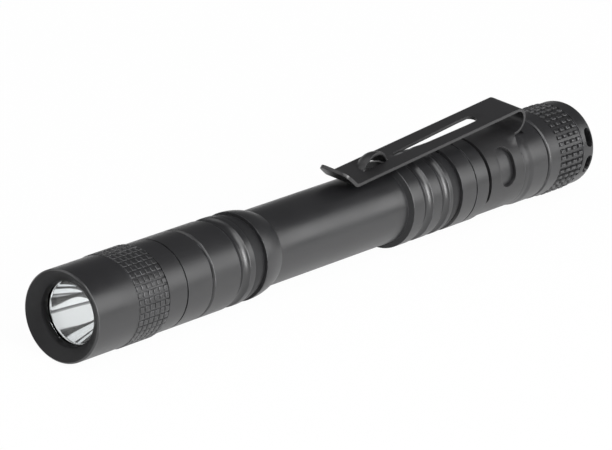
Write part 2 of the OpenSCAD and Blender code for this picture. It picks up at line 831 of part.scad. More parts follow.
// Arm of the clip: half the bend, a slotted strip, a pressed hood and a flared tip
module clip_arm() {
    up = 90 + arm_slope;
    level = 90 - flare_angle;
    arm_end = clip_bend(up)[0] - arm_len * [sin(arm_slope), cos(arm_slope)];
    crease_mid = arm_end + crease_r * clip_normal(up);
    crease = [for (i = [0 : arc_steps])
        let (a = up + (level - up) * i / arc_steps)
        [crease_mid - crease_r * clip_normal(a), a]];
    tip = crease[arc_steps][0] + flare_len * [sin(flare_angle), -cos(flare_angle)];
    line = concat(
        [for (i = [0 : 2 * arc_steps]) clip_bend(up * i / (2 * arc_steps))],
        crease,
        [[tip, level]]
    );
    color("#1d1e20")
        along_beam()
            difference() {
                union() {
                    intersection() {
                        clip_strip(line, clip_w + 2 * overrun);
                        arm_plan(tip[1]);
                    }
                    arm_hood(hood_sphere_r, clip_t / 2, hood_mouth);
                }
                on_arm() arm_slot();
                arm_hood(hood_sphere_r - clip_t, clip_t + overrun, hood_mouth + seat_gap);
            }
}

// The arm seen from above: a strip with rounded corners at its tip, which lies at a place on the axis
module arm_plan(tip_z) {
    rear = -bend_z - bend_r - overrun;
    rotate([0, 90, 0])
        linear_extrude(bend_h + 2 * bend_r)
            polygon(concat(
                [[rear, clip_w / 2], [rear, -clip_w / 2]],
                [for (side = [-1, 1])
                    for (i = [0 : 2 * arc_steps])
                        let (a = 45 * (side - 1) + 90 * i / (2 * arc_steps))
                        [tip_corner_r * (cos(a) - 1) - tip_z,
                            side * (clip_w / 2 - tip_corner_r) + tip_corner_r * sin(a)]]
            ));
}

// Slot with round ends through the arm, narrower towards the tip
module arm_slot() {
    end_r = [arm_slot_tip_w / 2, arm_slot_w / 2];
    translate([bend_r - clip_t - overrun, 0, -arm_slot_back - arm_slot_len / 2])
        rotate([0, 90, 0])
            linear_extrude(clip_t + 2 * overrun)
                polygon([for (end = [0, 1])
                    for (i = [0 : 2 * arc_steps])
                        let (a = 180 * end + 180 * i / (2 * arc_steps))
                        [(1 - 2 * end) * (arm_slot_len / 2 - end_r[end]) + end_r[end] * sin(a),
                            end_r[end] * cos(a)]]);
}

// Half dome pressed up from the arm, open towards one side, from a depth below the outer face
module arm_hood(r, depth, mouth) {
    on_arm()
        intersection() {
            translate([bend_r + hood_h - hood_sphere_r, hood_mouth, hood_back - arm_len])
                sphere(r = r);
            translate([bend_r - depth, mouth - hood_sphere_r, hood_back - arm_len - hood_sphere_r])
                cube([hood_h + depth, hood_sphere_r, 2 * hood_sphere_r]);
        }
}

// Spring from the switch board to the base of the rear cell
module tail_contact_spring() {
    color("#c8a24a")
        along_beam()
            coil(cells_end_z, tail_spring_len, contact_tip_r, contact_coil_r,
                contact_turns, contact_wire_d);
}

// Round board that carries the tail spring and the switch
module switch_board() {
    color("#1f5c3a")
        along_beam()
            ring(switch_board_d / 2, 0, switch_board_z, switch_board_t);
}

// Switch housing: a blind bore for the plunger and a flange that is clamped in the cap
module switch_housing() {
    flange_r = cap_bore_r - run_gap;
    bore_in_r = plunger_d / 2 + run_gap;
    color("#2b2c2e")
        along_beam()
            turned([
                [0, housing_z], [switch_d / 2, housing_z], [switch_d / 2, flange_z],
                [flange_r, flange_z], [flange_r, boot_z], [bore_in_r, boot_z],
                [bore_in_r, boot_z - plunger_bore_len], [0, boot_z - plunger_bore_len]
            ]);
}

// Spring that lifts the plunger
module switch_return_spring() {
    color("#b9bcc0")
        along_beam()
            coil(boot_z - plunger_bore_len, return_spring_len, return_coil_r, return_coil_r,
                return_turns, return_wire_d);
}

// Plunger: a piston in the housing and a post under the boot
module switch_plunger() {
    piston_z = boot_z - plunger_bore_len + return_spring_len;
    post_end_z = boot_z + boot_flange_t + boot_h - boot_wall;
    color("#d9d9d6")
        along_beam()
            turned([
                [0, piston_z], [plunger_d / 2, piston_z], [plunger_d / 2, piston_z + plunger_len],
                [plunger_post_d / 2, piston_z + plunger_len],
                [plunger_post_d / 2, post_end_z - rim_edge],
                [plunger_post_d / 2 - rim_edge, post_end_z], [0, post_end_z]
            ]);
}

// Threaded ring that holds the switch in the cap, with two key holes
module switch_retaining_ring() {
    hole_r = switch_d / 2 + 2 * run_gap;
    key_r = (hole_r + cap_bore_r) / 2;
    color("#b08d4a")
        along_beam()
            difference() {
                ring(cap_bore_r - run_gap / 2, hole_r, neck_end_z, ring_t);
                for (side = [-1, 1])
                    translate([0, side * key_r, neck_end_z - overrun])
                        cylinder(d = key_hole_d, h = ring_t + 2 * overrun);
            }
}

// Rubber boot: a clamped flange and a domed button
module switch_boot() {
    r = boot_d / 2;
    top_z = lip_z + boot_h;
    color("#141415")
        along_beam()
            turned(concat(
                [[r - boot_wall, boot_z], [cap_bore_r - run_gap, boot_z], [cap_bore_r - run_gap, lip_z]],
                [[r, lip_z]],
                [for (i = [0 : arc_steps])
                    let (a = 90 * i / arc_steps)
                    [r - boot_edge_r * (1 - cos(a)), top_z - boot_edge_r * (1 - sin(a))]],
                [[0, top_z], [0, top_z - boot_wall]],
                [for (i = [arc_steps : -1 : 0])
                    let (a = 90 * i / arc_steps, inner_r = boot_edge_r - boot_wall / 2)
                    [r - boot_wall - inner_r * (1 - cos(a)), top_z - boot_wall - inner_r * (1 - sin(a))]]
            ));
}

// Tail cap: threaded bore, inner lip, studded grip and a skirt with two cord holes
module tail_cap() {
    cord_hole_z = overall_len - cord_hole_rim - cord_hole_w / 2;
    color("#26272a")
        along_beam()
            difference() {
                turned(concat(
                    [
                        [cap_bore_r, tail_seam_z + seam_gap],
                        [cap_r - seam_edge, tail_seam_z + seam_gap],
                        [cap_r, tail_seam_z + seam_gap + seam_edge],
                        [cap_r, cap_knurl_z]
                    ],
                    knurl_rings(cap_knurl_d / 2, cap_knurl_z, cap_knurl_len, tail_knurl_rows),
                    [[cap_r, cap_end_z]],
                    [for (i = [0 : arc_steps])
                        let (a = 90 * i / arc_steps)
                        [cap_r - cap_edge_r * (1 - cos(a)), overall_len - cap_edge_r * (1 - sin(a))]],
                    [
                        [recess_d / 2, overall_len], [recess_d / 2, recess_z], [lip_d / 2, recess_z],
                        [lip_d / 2, lip_z], [cap_bore_r, lip_z]
                    ]
                ));
                knurl_slots(cap_knurl_d / 2, cap_knurl_z, cap_knurl_len, tail_knurl_count);
                for (i = [0, 1])
                    wall_hole(cord_hole_z, cord_hole_angle + i * cord_hole_step, cord_hole_len,
                        cord_hole_w, recess_d / 2 - overrun, cap_r + overrun);
            }
}

head_shell();
lens_seal();
lens();
reflector();
led_gasket();
led_emitter();
led_board();
pill();
driver_board();
driver_parts();
front_contact_spring();
head_seal();
barrel();
front_cell();
rear_cell();
clip_band();
clip_arm();
tail_seal();
tail_contact_spring();
switch_board();
switch_housing();
switch_return_spring();
switch_plunger();
switch_retaining_ring();
switch_boot();
tail_cap();
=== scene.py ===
import math

import bmesh
import bpy
from mathutils import Matrix, Vector
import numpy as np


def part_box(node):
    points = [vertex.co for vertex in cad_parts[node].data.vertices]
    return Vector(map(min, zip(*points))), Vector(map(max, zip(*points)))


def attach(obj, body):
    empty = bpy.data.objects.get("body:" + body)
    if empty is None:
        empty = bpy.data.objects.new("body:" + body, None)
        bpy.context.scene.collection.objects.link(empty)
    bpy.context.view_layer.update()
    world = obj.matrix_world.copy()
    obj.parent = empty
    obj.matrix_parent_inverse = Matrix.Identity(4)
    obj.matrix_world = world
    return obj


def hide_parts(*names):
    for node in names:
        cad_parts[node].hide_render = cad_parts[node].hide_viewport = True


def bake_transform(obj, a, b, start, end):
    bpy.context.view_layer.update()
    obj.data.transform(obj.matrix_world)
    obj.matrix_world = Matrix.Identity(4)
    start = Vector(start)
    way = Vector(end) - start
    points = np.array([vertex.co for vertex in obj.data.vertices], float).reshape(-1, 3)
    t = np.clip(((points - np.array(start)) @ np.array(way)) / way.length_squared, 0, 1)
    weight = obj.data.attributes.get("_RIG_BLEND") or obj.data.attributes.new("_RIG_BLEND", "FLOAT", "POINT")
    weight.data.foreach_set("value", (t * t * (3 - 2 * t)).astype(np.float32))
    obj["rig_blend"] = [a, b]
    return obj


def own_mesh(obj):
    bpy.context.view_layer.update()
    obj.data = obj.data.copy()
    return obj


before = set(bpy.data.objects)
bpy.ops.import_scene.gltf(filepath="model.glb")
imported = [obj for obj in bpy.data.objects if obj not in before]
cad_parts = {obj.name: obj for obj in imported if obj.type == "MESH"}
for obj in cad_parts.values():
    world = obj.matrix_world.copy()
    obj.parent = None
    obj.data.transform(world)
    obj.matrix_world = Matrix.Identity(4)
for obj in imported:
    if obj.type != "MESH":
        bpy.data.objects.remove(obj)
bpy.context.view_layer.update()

# ---------------------------------------------------------------- Barrel
# One tube turned from aluminium bar: rings, round hollows, square grooves and a track for the
# clip, with a thread and a seal groove on the neck at each end. Bead-blasted, anodised black.
# Sizes are in mm, with stations counted from the front rim and radii from the beam's axis.

MIDDLE = 66.675  # station of the light's middle
AXIS_HEIGHT = 7.65  # height of the beam's axis above the table


def at(station, radius, turn=0.0):
    """A point in metres from its station, its radius and its turn from the top towards the seen side."""
    side, height = radius * math.sin(turn), radius * math.cos(turn)
    return Vector((MIDDLE - station, side, AXIS_HEIGHT + height)) / 1000


def where(point):
    """Station, radius and turn of a point in metres."""
    side, height = point.y * 1000, point.z * 1000 - AXIS_HEIGHT
    return MIDDLE - point.x * 1000, math.hypot(side, height), math.atan2(side, height)


def new_shape():
    """An empty shape whose faces can be marked where an edge is broken."""
    bm = bmesh.new()
    bm.faces.layers.float.new("edge")
    return bm


def turned(outline, steps, closed=True):
    """A half outline of (station, radius) points turned round the beam's axis."""
    bm = new_shape()
    points = [bm.verts.new(at(s, r)) for s, r in outline]
    for a, b in zip(points, points[1:] + points[:1] if closed else points[1:]):
        bm.edges.new((a, b))
    bmesh.ops.spin(bm, geom=bm.verts[:] + bm.edges[:], cent=at(0, 0), axis=(1, 0, 0),
                   angle=2 * math.pi, steps=steps, use_merge=True)
    bmesh.ops.remove_doubles(bm, verts=bm.verts[:], dist=2e-7)
    bmesh.ops.recalc_face_normals(bm, faces=bm.faces[:])
    return bm


def block(station, radius, length, width, height):
    """A plain block with its middle over the axis."""
    bm = new_shape()
    bmesh.ops.create_cube(bm, size=0.001)
    bmesh.ops.scale(bm, vec=(length, width, height), verts=bm.verts[:])
    bmesh.ops.translate(bm, vec=at(station, radius), verts=bm.verts[:])
    return bm


def break_edges(bm, edges, width, segments=2):
    """Rounds edges by a width and marks the new faces, where the finish wears first."""
    rounded = bmesh.ops.bevel(bm, geom=edges, offset=width / 1000, offset_type="OFFSET", segments=segments,
                              profile=0.5, affect="EDGES", material=-1, clamp_overlap=True)
    mark = bm.faces.layers.float["edge"]
    for face in rounded["faces"]:
        face[mark] = 1.0


def turned_corners(bm, least=24):
    """The edges round the axis at which the outline turns a corner of at least so many degrees."""
    found = []
    for edge in bm.edges:
        if len(edge.link_faces) == 2 and edge.calc_face_angle() > math.radians(least):
            (s0, r0, _), (s1, r1, _) = where(edge.verts[0].co), where(edge.verts[1].co)
            if abs(s0 - s1) < 1e-3 and abs(r0 - r1) < 1e-3 and r0 > 0.01:
                found.append(edge)
    return found


def screw_ridge(bm, station, root, crest, pitch, turns, foot=0.27, land=0.06, sink=0.05, steps=48):
    """A helical ridge on a neck, its foot sunk a little into the wall."""
    ridge = [bm.verts.new(at(station + s, r)) for s, r in
             ((-foot, root - sink), (-land, crest), (land, crest), (foot, root - sink))]
    bm.faces.new(ridge)
    loop = [bm.edges.get(pair) for pair in zip(ridge, ridge[1:] + ridge[:1])]
    bmesh.ops.spin(bm, geom=loop, cent=at(0, 0), axis=(1, 0, 0), dvec=(-pitch / steps / 1000, 0, 0),
                   angle=2 * math.pi * turns, steps=int(steps * turns))
    bmesh.ops.holes_fill(bm, edges=[e for e in bm.edges if e.is_boundary])
    bmesh.ops.recalc_face_normals(bm, faces=bm.faces[:])


def piece(name, bm, *finishes, corner=40):
    """Makes a mesh object of the shape, smooth up to a corner angle."""
    for edge in bm.edges:
        edge.smooth = len(edge.link_faces) == 2 and edge.calc_face_angle() < math.radians(corner)
    for face in bm.faces:
        face.smooth = True
    mesh = bpy.data.meshes.new(name)
    bm.to_mesh(mesh)
    bm.free()
    for made in finishes:
        mesh.materials.append(made)
    shown = bpy.data.objects.new(name, mesh)
    bpy.context.scene.collection.objects.link(shown)
    return shown


def even_shading(made):
    """Lets the large faces set the shading, so that only the broken edges turn it."""
    even = made.modifiers.new("even_shading", "WEIGHTED_NORMAL")
    even.keep_sharp = True
    even.weight = 60


def carve(bm, cutter):
    """The shape less the cutter, as a new shape."""
    body, tool = piece("carved", bm), piece("tool", cutter)
    cut = body.modifiers.new("cut", "BOOLEAN")
    cut.operation, cut.solver, cut.object = "DIFFERENCE", "EXACT", tool
    depsgraph = bpy.context.evaluated_depsgraph_get()
    result = bmesh.new()
    result.from_object(body, depsgraph)
    for gone in (body, tool):
        bpy.data.meshes.remove(gone.data)
    return result


def round_hollow(station, width, radius, depth, parts=12):
    """Outline of a hollow of circular section in a wall."""
    cut = (width ** 2 / 4 + depth ** 2) / (2 * depth)
    half = math.asin(width / 2 / cut)
    return [(station + width / 2 + cut * math.sin(a), radius + cut - depth - cut * math.cos(a))
            for a in (half * (2 * i / parts - 1) for i in range(parts + 1))]


def square_groove(station, width, radius, depth):
    """Outline of a groove with straight walls."""
    end, floor = station + width, radius - depth
    return [(station, radius), (station, floor), (end, floor), (end, radius)]


def falling_shoulder(station, length, high, low, parts=12):
    """Outline of a shoulder that leaves the high radius level and falls to the low one."""
    arc = ((high - low) ** 2 + length ** 2) / (2 * (high - low))
    reach = math.asin(length / arc)
    return [(station + arc * math.sin(reach * i / parts), high - arc * (1 - math.cos(reach * i / parts)))
            for i in range(parts + 1)]


def shader_group(name, inputs, outputs):
    """An empty node group with named value sockets."""
    group = bpy.data.node_groups.new(name, "ShaderNodeTree")
    for label, value in inputs:
        made = group.interface.new_socket(label, in_out="INPUT", socket_type="NodeSocketFloat")
        made.default_value = value
    for label in outputs:
        group.interface.new_socket(label, in_out="OUTPUT", socket_type="NodeSocketFloat")
    return group, group.nodes.new("NodeGroupInput"), group.nodes.new("NodeGroupOutput")


def spread(nodes, span, result=(0.0, 1.0)):
    """A node that spreads a span of a mask over a range of results."""
    made = nodes.new("ShaderNodeMapRange")
    for label, value in zip(("From Min", "From Max", "To Min", "To Max"), (*span, *result)):
        made.inputs[label].default_value = value
    return made


def worked_surface():
    """Turning lines, blasted grain and handling clouds, all on Object coordinates."""
    group, given, out = shader_group(
        "worked_surface", (("Lines", 14000.0), ("Grain", 16000.0), ("Clouds", 90.0), ("Line share", 0.5)),
        ("Height", "Cloud"))
    nodes, link = group.nodes, group.links.new
    place, split = nodes.new("ShaderNodeTexCoord"), nodes.new("ShaderNodeSeparateXYZ")
    link(place.outputs["Object"], split.inputs[0])
    along = nodes.new("ShaderNodeMath")
    along.operation = "MULTIPLY"
    link(split.outputs["X"], along.inputs[0])
    link(given.outputs["Lines"], along.inputs[1])
    lines, grain, clouds = (nodes.new("ShaderNodeTexNoise") for _ in range(3))
    lines.noise_dimensions = "1D"
    lines.inputs["Scale"].default_value = 1.0
    lines.inputs["Detail"].default_value = 3.0
    link(along.outputs[0], lines.inputs["W"])
    grain.inputs["Detail"].default_value = 3.0
    clouds.inputs["Detail"].default_value = 4.0
    clouds.inputs["Roughness"].default_value = 0.6
    for noise, size in ((grain, "Grain"), (clouds, "Clouds")):
        link(place.outputs["Object"], noise.inputs["Vector"])
        link(given.outputs[size], noise.inputs["Scale"])
    height = nodes.new("ShaderNodeMix")
    link(given.outputs["Line share"], height.inputs["Factor"])
    link(grain.outputs["Fac"], height.inputs["A"])
    link(lines.outputs["Fac"], height.inputs["B"])
    link(height.outputs["Result"], out.inputs["Height"])
    link(clouds.outputs["Fac"], out.inputs["Cloud"])
    return group


def worn_edges():
    """Where the broken edges are rubbed bare, in patches."""
    group, given, out = shader_group("worn_edges", (("Patches", 700.0), ("Amount", 0.5)), ("Wear",))
    nodes, link = group.nodes, group.links.new
    mark = nodes.new("ShaderNodeAttribute")
    mark.attribute_name = "edge"
    place, patches = nodes.new("ShaderNodeTexCoord"), nodes.new("ShaderNodeTexNoise")
    patches.inputs["Detail"].default_value = 4.0
    link(place.outputs["Object"], patches.inputs["Vector"])
    link(given.outputs["Patches"], patches.inputs["Scale"])
    bare = spread(nodes, (0.42, 0.72))
    link(patches.outputs["Fac"], bare.inputs["Value"])
    rubbed, amount = nodes.new("ShaderNodeMath"), nodes.new("ShaderNodeMath")
    rubbed.operation = amount.operation = "MULTIPLY"
    link(mark.outputs["Fac"], rubbed.inputs[0])
    link(bare.outputs["Result"], rubbed.inputs[1])
    link(rubbed.outputs[0], amount.inputs[0])
    link(given.outputs["Amount"], amount.inputs[1])
    link(amount.outputs[0], out.inputs["Wear"])
    return group


surface_group, wear_group = worked_surface(), worn_edges()


def finish(name, dark, light, rough, bump, depth, line_share, grain=16000.0, lines=14000.0, clouds=90.0,
           metallic=0.0, ior=1.5, worn=None, wear=0.0):
    """A finish with worked grain and cloudy gloss, rubbed to the worn colour at the edges."""
    made = bpy.data.materials.new(name)
    made.use_nodes = True
    nodes, link = made.node_tree.nodes, made.node_tree.links.new
    shader = nodes["Principled BSDF"]
    shader.inputs["Metallic"].default_value = metallic
    shader.inputs["IOR"].default_value = ior
    surface = nodes.new("ShaderNodeGroup")
    surface.node_tree = surface_group
    for label, value in (("Lines", lines), ("Grain", grain), ("Clouds", clouds), ("Line share", line_share)):
        surface.inputs[label].default_value = value
    tone = nodes.new("ShaderNodeMix")
    tone.data_type = "RGBA"
    tone.inputs["A"].default_value, tone.inputs["B"].default_value = (*dark, 1), (*light, 1)
    link(surface.outputs["Cloud"], tone.inputs["Factor"])
    colour = tone.outputs["Result"]
    if worn:
        rubbed, bare = nodes.new("ShaderNodeGroup"), nodes.new("ShaderNodeMix")
        rubbed.node_tree = wear_group
        rubbed.inputs["Amount"].default_value = wear
        bare.data_type = "RGBA"
        bare.inputs["B"].default_value = (*worn, 1)
        link(colour, bare.inputs["A"])
        link(rubbed.outputs["Wear"], bare.inputs["Factor"])
        colour = bare.outputs["Result"]
    link(colour, shader.inputs["Base Color"])
    gloss = spread(nodes, (0.3, 0.7), rough)
    link(surface.outputs["Cloud"], gloss.inputs["Value"])
    link(gloss.outputs["Result"], shader.inputs["Roughness"])
    relief = nodes.new("ShaderNodeBump")
    relief.inputs["Strength"].default_value = bump
    relief.inputs["Distance"].default_value = depth / 1000
    link(surface.outputs["Height"], relief.inputs["Height"])
    link(relief.outputs["Normal"], shader.inputs["Normal"])
    return made


anodised = finish("black_anodised", (0.0085, 0.0085, 0.0095), (0.0135, 0.0135, 0.0145), rough=(0.30, 0.40),
                  bump=0.35, depth=0.010, line_share=0.55, ior=1.75, worn=(0.14, 0.14, 0.15), wear=0.55)
# A darker, duller copy of the anodised finish: painted shade for the hollows, the tail-facing shoulders and
# the bezel's dish
shaded_anodised = finish("shaded_anodised", (0.0075, 0.0075, 0.0085), (0.0115, 0.0115, 0.0125),
                       rough=(0.50, 0.60), bump=0.35, depth=0.010, line_share=0.55, ior=1.45,
                       worn=(0.05, 0.05, 0.055), wear=0.3)

RING, NECK, TUBE, BORE = 7.35, 6.45, 6.40, 5.45  # radii of the rings, necks, middle tube and bore
RING_END = 7.05  # radius to which a ring's end is chamfered
THREAD_ROOT, NECK_END, PITCH = 6.15, 6.0, 0.75
HOLLOW = 0.6  # depth of the hollows between the rings
SEAL_GROOVE, FINE_LINE = (0.75, NECK, 0.65), (0.35, RING, 0.25)  # width, radius and depth
TRACK, SEAT, SEAT_RAMP = 0.87, 7.1, 1.35  # depth of the clip's track, radius of its rear seat, the ramp up
EDGE = 0.07  # width of a broken edge

barrel_outline = [(21.5, BORE), (21.5, NECK_END), (21.65, THREAD_ROOT), (25.75, THREAD_ROOT), (25.95, NECK)]
barrel_outline += square_groove(26.85, *SEAL_GROOVE)
barrel_outline += [(28.2, NECK), (28.2, RING_END), (28.5, RING)]
barrel_outline += round_hollow(34.8, 2.5, RING, HOLLOW)
barrel_outline += falling_shoulder(38.3, 3.3, RING, RING - HOLLOW)
barrel_outline += falling_shoulder(41.6, 5.0, RING, TUBE)
barrel_outline += [(80.2, TUBE), (80.7, RING)]
barrel_outline += round_hollow(83.6, 2.4, RING, HOLLOW)
barrel_outline += round_hollow(88.5, 2.2, RING, HOLLOW)
barrel_outline += falling_shoulder(91.3, 3.0, RING, RING - HOLLOW) + [(94.3, RING)]
barrel_outline += square_groove(98.2, *FINE_LINE)
barrel_outline += square_groove(101.85, 10.9, RING, TRACK)[:-1] + [(112.75, SEAT), (113.7, SEAT)]
barrel_outline += [(113.7 + SEAT_RAMP * t, SEAT + 0.25 * t * t * (3 - 2 * t))
                   for t in (0.2, 0.4, 0.6, 0.8, 1.0)]
barrel_outline += [(119.25, RING), (119.55, RING_END), (119.55, NECK)]
barrel_outline += square_groove(120.15, *SEAL_GROOVE)
barrel_outline += [(121.3, NECK), (121.5, THREAD_ROOT), (124.75, THREAD_ROOT), (124.9, NECK_END)]
barrel_outline += [(124.9, BORE)]
barrel_shape = turned(barrel_outline, 144)
break_edges(barrel_shape, turned_corners(barrel_shape), EDGE)
foot_flat = block(114.2, 7.48, 3.2, 15.0, 2.0)  # milled off under the clip's foot
barrel_shape = carve(barrel_shape, foot_flat)
screw_ridge(barrel_shape, 22.05, THREAD_ROOT, NECK, PITCH, 4.6)
screw_ridge(barrel_shape, 121.85, THREAD_ROOT, NECK, PITCH, 3.4)


def paint_shade_faces(bm, is_shaded):
    """Paints shade: gives the second, darker and duller copy of the finish to the faces at some stations and
    radii.
    """
    for face in bm.faces:
        station, radius, _ = where(face.calc_center_median())
        face.material_index = int(is_shaded(station, radius))


# Hollows and shoulders that get the darker copy of the finish as painted shade, from station to station
painted_shade_spans = ((34.8, 36.1), (38.7, 41.6), (80.15, 80.66), (83.6, 84.9), (88.5, 89.7), (91.6, 94.3))
paint_shade_faces(barrel_shape, lambda station, radius: any(low < station < high for low, high in painted_shade_spans))
barrel = piece("turned_barrel", barrel_shape, anodised, shaded_anodised)
even_shading(barrel)
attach(barrel, "barrel")
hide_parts("barrel")

# ---------------------------------------------------------------- Neck seals
# Two round rubber rings, moulded, pressed into the grooves of the barrel's necks and greased.

rubber = finish("black_rubber", (0.012, 0.012, 0.0125), (0.022, 0.022, 0.0225), rough=(0.55, 0.72),
                bump=0.5, depth=0.02, line_share=0.0, grain=9000.0)


def refinish(made, *nodes):
    """Gives carried-over pieces their finish."""
    for node in nodes:
        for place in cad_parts[node].material_slots:
            place.material = made


refinish(rubber, "head_seal", "tail_seal")

# ---------------------------------------------------------------- Cells
# Two AAA cells, steel cans with a printed sleeve shrunk over them, dropped into the barrel
# from the tail with their buttons forward. The sleeve leaves both ends of the can bare.

sleeve = finish("cell_sleeve", (0.020, 0.075, 0.19), (0.028, 0.095, 0.23), rough=(0.2, 0.3),
                bump=0.1, depth=0.01, line_share=0.0, grain=1200.0)
BARE_STEEL = (0.55, 0.55, 0.54)
# Where the can is bare (1) and where it is sleeved (0), from shares of the length of both cells on
BARE_STOPS = ((0.0, 1.0), (0.012, 0.0), (0.475, 1.0), (0.512, 0.0), (0.975, 1.0))


def bare_ends(made, cells):
    """Shows the bare can at the ends of each cell, by the place along them."""
    nodes, link = made.node_tree.nodes, made.node_tree.links.new
    shader = nodes["Principled BSDF"]
    place, split = nodes.new("ShaderNodeTexCoord"), nodes.new("ShaderNodeSeparateXYZ")
    link(place.outputs["Object"], split.inputs[0])
    reach = spread(nodes, (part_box(cells[1])[0].x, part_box(cells[0])[1].x))
    link(split.outputs["X"], reach.inputs["Value"])
    ramp = nodes.new("ShaderNodeValToRGB")
    ramp.color_ramp.interpolation = "CONSTANT"
    link(reach.outputs["Result"], ramp.inputs["Fac"])
    for index, (spot, bare) in enumerate(BARE_STOPS):
        stop = ramp.color_ramp.elements[index] if index < 2 else ramp.color_ramp.elements.new(spot)
        stop.position, stop.color = spot, (bare, bare, bare, 1)
    link(ramp.outputs["Color"], shader.inputs["Metallic"])
    tone = nodes.new("ShaderNodeMix")
    tone.data_type = "RGBA"
    tone.inputs["B"].default_value = (*BARE_STEEL, 1)
    printed = shader.inputs["Base Color"].links[0].from_socket
    link(ramp.outputs["Color"], tone.inputs["Factor"])
    link(printed, tone.inputs["A"])
    link(tone.outputs["Result"], shader.inputs["Base Color"])


bare_ends(sleeve, ("front_cell", "rear_cell"))
refinish(sleeve, "front_cell", "rear_cell")

# ---------------------------------------------------------------- Pocket clip
# One blank of spring steel: a band with two windows is rolled round the barrel, and a foot is
# bent back into a slotted arm with a pressed hood and a flared tip. Black oxide. The blank is
# laid out flat, s along the barrel from the band's rear edge and w across, and then bent.

clip_steel = finish("black_spring_steel", (0.016, 0.016, 0.017), (0.025, 0.0245, 0.025), rough=(0.32, 0.44),
                    bump=0.25, depth=0.008, line_share=0.15, grain=9000.0, ior=1.58,
                    worn=(0.24, 0.24, 0.24), wear=0.4)

SHEET = 0.57  # thickness of the steel
BAND_R, BAND_END = 6.815, 112.7  # middle of the sheet round the barrel, station of the band's rear edge
BAND_LEN, BAND_HALF = 10.8, BAND_R * math.radians(150)  # band's length, half of its way round
NOTCH, NOTCH_HALF = 1.05, BAND_R * math.radians(109)  # depth of the band's stepped front edge, half its width
WINDOW_S, WINDOW_TURNS = (-6.9, -2.7), (34, 93)  # the windows along the band and, in degrees, round it
FOOT, BEND_R, BEND_H = 1.0, 2.111, 8.93  # foot's length, bend's radius, bend's middle above the axis
UP = math.radians(95.015)  # turn at which the bend runs into the arm
BEND_LEN = BEND_R * (UP + math.pi / 2)
ARM, HALF_W = 44.0, 3.15  # arm's length, half its width
CREASE_R, FLARE, FLARE_TURN = 1.5, 3.5, math.radians(53)  # crease's radius, flared tip's length and turn
CREASE_LEN = CREASE_R * (UP - FLARE_TURN)
ARM_START = FOOT + BEND_LEN
ARM_END = ARM_START + ARM
TIP = ARM_END + CREASE_LEN + FLARE
SLOT_REAR, SLOT_REAR_R = ARM_START + 9.55, 1.15  # the arm's slot tapers from its rear end
SLOT_FRONT, SLOT_FRONT_R = ARM_START + 30.55, 0.55  # to its front end
HOOD_S, HOOD_W, HOOD_R, HOOD_H = ARM_END - 7.4, 0.7, 3.1, 2.38  # hood's middle, mouth, radius and height
HOOD_SKIRT, HOOD_SOFT, HOOD_SINK = 0.8, 0.05, 0.02  # reach and softness of the hood's run into the arm
SLIT = 2.4  # half of the straight part of the slit under the hood's mouth


def smooth_step(x, low, high):
    """Rises smoothly from 0 at low to 1 at high."""
    t = min(max((x - low) / (high - low), 0.0), 1.0)
    return t * t * (3 - 2 * t)


def hood_rise(s, w):
    """Height of the pressed hood over the sheet, a half dome whose mouth opens to the seen side."""
    reach = math.hypot(s - HOOD_S, w - HOOD_W)
    if w > HOOD_W or reach >= HOOD_R + HOOD_SKIRT:
        return 0.0
    dome = (HOOD_R ** 2 + HOOD_H ** 2) / (2 * HOOD_H)
    rise = math.sqrt(max(dome ** 2 - reach ** 2, 0.0)) - (dome - HOOD_H)
    return max((rise + math.sqrt(rise ** 2 + HOOD_SOFT)) / 2 - HOOD_SINK, 0.0)


def bent(s, w, t):
    """Place of a point of the flat blank once it is rolled and bent; t is above the sheet's middle."""
    if s <= FOOT:
        turn = w / BAND_R
        rolled = at(BAND_END + s, BAND_R + t, turn)
        flat = Vector(((MIDDLE - BAND_END - s) / 1000, w / 1000, (AXIS_HEIGHT + BAND_R + t) / 1000))
        share = smooth_step(s, -2.2, 0.3) * (1 - smooth_step(abs(w), HALF_W, HALF_W + 1.6))
        return rolled.lerp(flat, share)

    def out(turn):
        return Vector((math.sin(turn), math.cos(turn)))

    middle = Vector((BEND_H, BAND_END + FOOT))
    if s <= ARM_START:
        spot = middle + (BEND_R - t) * out((s - FOOT) / BEND_R - math.pi / 2)
    else:
        slope = UP - math.pi / 2
        run = -Vector((math.sin(slope), math.cos(slope)))
        if s <= ARM_END:
            spot = middle + BEND_R * out(UP) + (s - ARM_START) * run + (hood_rise(s, w) - t) * out(UP)
        else:
            crease = middle + (BEND_R + CREASE_R) * out(UP) + ARM * run
            turn = max(UP - (s - ARM_END) / CREASE_R, FLARE_TURN)
            spot = crease - (CREASE_R + t) * out(turn)
            past = max(s - ARM_END - CREASE_LEN, 0.0)
            spot += past * Vector((math.cos(FLARE_TURN), -math.sin(FLARE_TURN)))
    return Vector(((MIDDLE - spot[1]) / 1000, w / 1000, (AXIS_HEIGHT + spot[0]) / 1000))


def arc(s, w, radius, start, end, parts=8):
    """Points of an arc in the blank; angles in degrees, from the blank's length towards its width."""
    turns = [math.radians(start + (end - start) * i / parts) for i in range(parts + 1)]
    return [(s + radius * math.cos(turn), w + radius * math.sin(turn)) for turn in turns]


def long_slot(s0, s1, w0, w1):
    """Outline of a slot with round ends, along the blank or across it."""
    r = min(s1 - s0, w1 - w0) / 2
    if s1 - s0 > w1 - w0:
        return arc(s1 - r, w0 + r, r, -90, 90, 14) + arc(s0 + r, w0 + r, r, 90, 270, 14)
    return arc(s0 + r, w1 - r, r, 0, 180, 14) + arc(s0 + r, w0 + r, r, 180, 360, 14)


